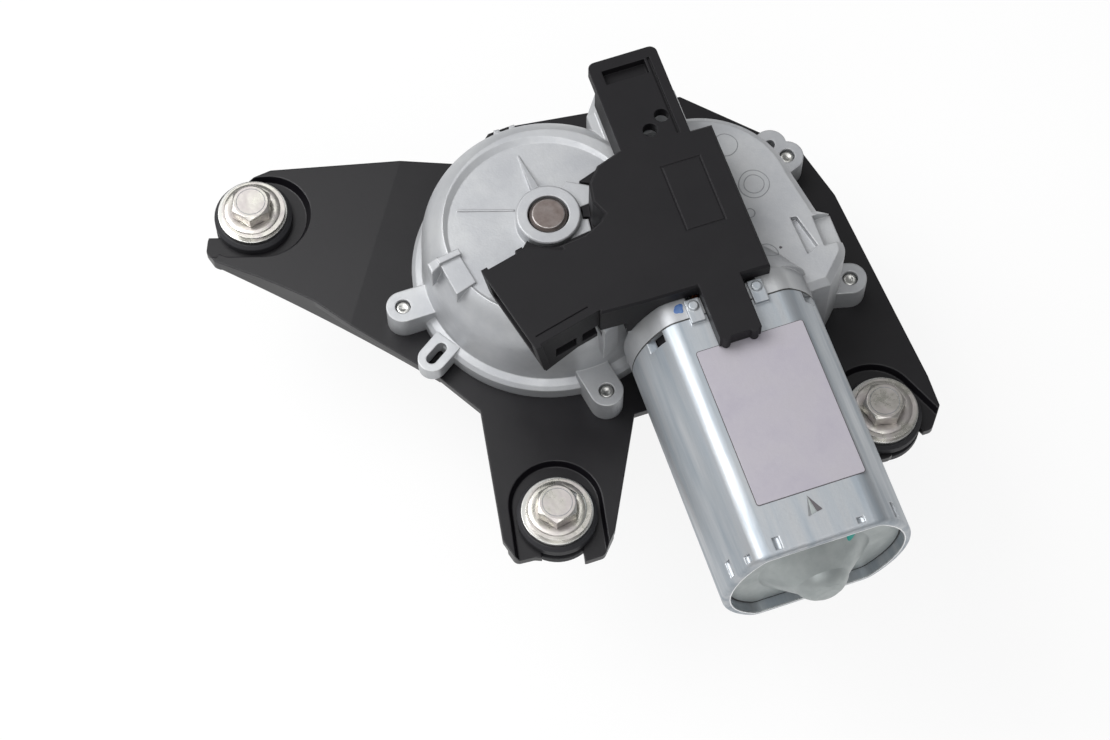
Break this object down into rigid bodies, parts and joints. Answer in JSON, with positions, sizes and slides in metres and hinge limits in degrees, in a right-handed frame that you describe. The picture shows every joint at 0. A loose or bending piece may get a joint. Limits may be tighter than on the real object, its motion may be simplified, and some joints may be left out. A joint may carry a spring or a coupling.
{
  "type": "wiper motor",
  "caption": "Wiper gear motor: worm drive in a cast housing with a yoke motor, electronics cover and a three-arm bracket on rubber mounts",
  "frame": {"origin": "on the output shaft's axis, just below the mouth of its bearing tower", "axes": "+Z runs along the output shaft, from its threaded end towards the motor; the motor's own axis is parallel to Y and points along -Y"},
  "size_m": [0.1719, 0.1747, 0.101],
  "materials": {
    "cast_aluminium": "matt pressure-cast surface, slightly grainy",
    "yoke_steel": "zinc-plated deep-drawn steel, satin",
    "black_steel": "satin black dip paint on pressed steel",
    "black_plastic": "matt glass-filled moulding",
    "zinc_steel": "bright zinc plating",
    "bolt_steel": "zinc plating with a faint yellow cast",
    "shaft_steel": "ground steel, oiled",
    "core_steel": "stacked steel sheets",
    "rubber": "moulded black rubber, matt",
    "bronze": "oil-filled sintered bronze",
    "copper": "bare or enamelled copper",
    "gear_plastic": "natural acetal moulding, greased",
    "ferrite": "pressed ferrite, dull",
    "carbon": "pressed copper-graphite",
    "board_green": "lacquered circuit board"
  },
  "bodies": {
    "gear_motor": {"gear_housing": "cast_aluminium", "housing_gasket": "rubber", "housing_screws": "zinc_steel", "mounting_bracket": "black_steel", "bearing_tower": "cast_aluminium", "tower_rivets": "zinc_steel", "upper_shaft_bush": "bronze", "lower_shaft_bushes": "bronze", "shaft_seal": "rubber", "wheel_thrust_washer": "zinc_steel", "worm_front_bearing": "bronze", "worm_end_bearing": "bronze", "thrust_pad": "shaft_steel", "motor_yoke": "yoke_steel", "yoke_end_plate": "yoke_steel", "rear_bearing": "bronze", "bearing_retainer": "zinc_steel", "magnets": "ferrite", "brush_holder": "black_plastic", "left_brush_spring": "zinc_steel", "right_brush_spring": "zinc_steel", "motor_leads": "copper", "grommets": "rubber", "spacer_sleeves": "zinc_steel", "bolt_washers": "zinc_steel", "mounting_bolts": "bolt_steel", "electronics_cover": "black_plastic", "control_board": "board_green", "board_components": "black_plastic", "connector_pins": "copper"},
    "output": {"output_shaft": "shaft_steel", "worm_wheel": "gear_plastic", "circlip": "zinc_steel"},
    "armature": {"armature_shaft": "shaft_steel", "armature_core": "core_steel", "armature_windings": "copper", "commutator": "copper"},
    "left_carbon_brush": {"left_brush": "carbon"},
    "right_carbon_brush": {"right_brush": "carbon"}
  },
  "joints": [
    {"name": "armature_spin", "type": "hinge", "parent": "gear_motor", "child": "armature", "pos_m": [0.03375, 0, 0.045], "axis": [0, 1, 0], "range_deg": [0, 7080]},
    {"name": "output_turn", "type": "hinge", "parent": "gear_motor", "child": "output", "pos_m": [0, 0, 0], "axis": [0, 0, -1], "range_deg": [0, 120]},
    {"name": "left_brush_slide", "type": "slide", "parent": "gear_motor", "child": "left_carbon_brush", "axis": [-1, 0, 0], "range_m": [0, 0.002], "stiffness_N_per_m": 100, "springref_m": -0.004, "deforming": ["left_brush_spring"]},
    {"name": "right_brush_slide", "type": "slide", "parent": "gear_motor", "child": "right_carbon_brush", "axis": [1, 0, 0], "range_m": [0, 0.002], "stiffness_N_per_m": 100, "springref_m": -0.004, "deforming": ["right_brush_spring"]}
  ],
  "couplings": [
    {"joint": "output_turn", "follows": "armature_spin", "ratio": 0.016949}
  ]
}
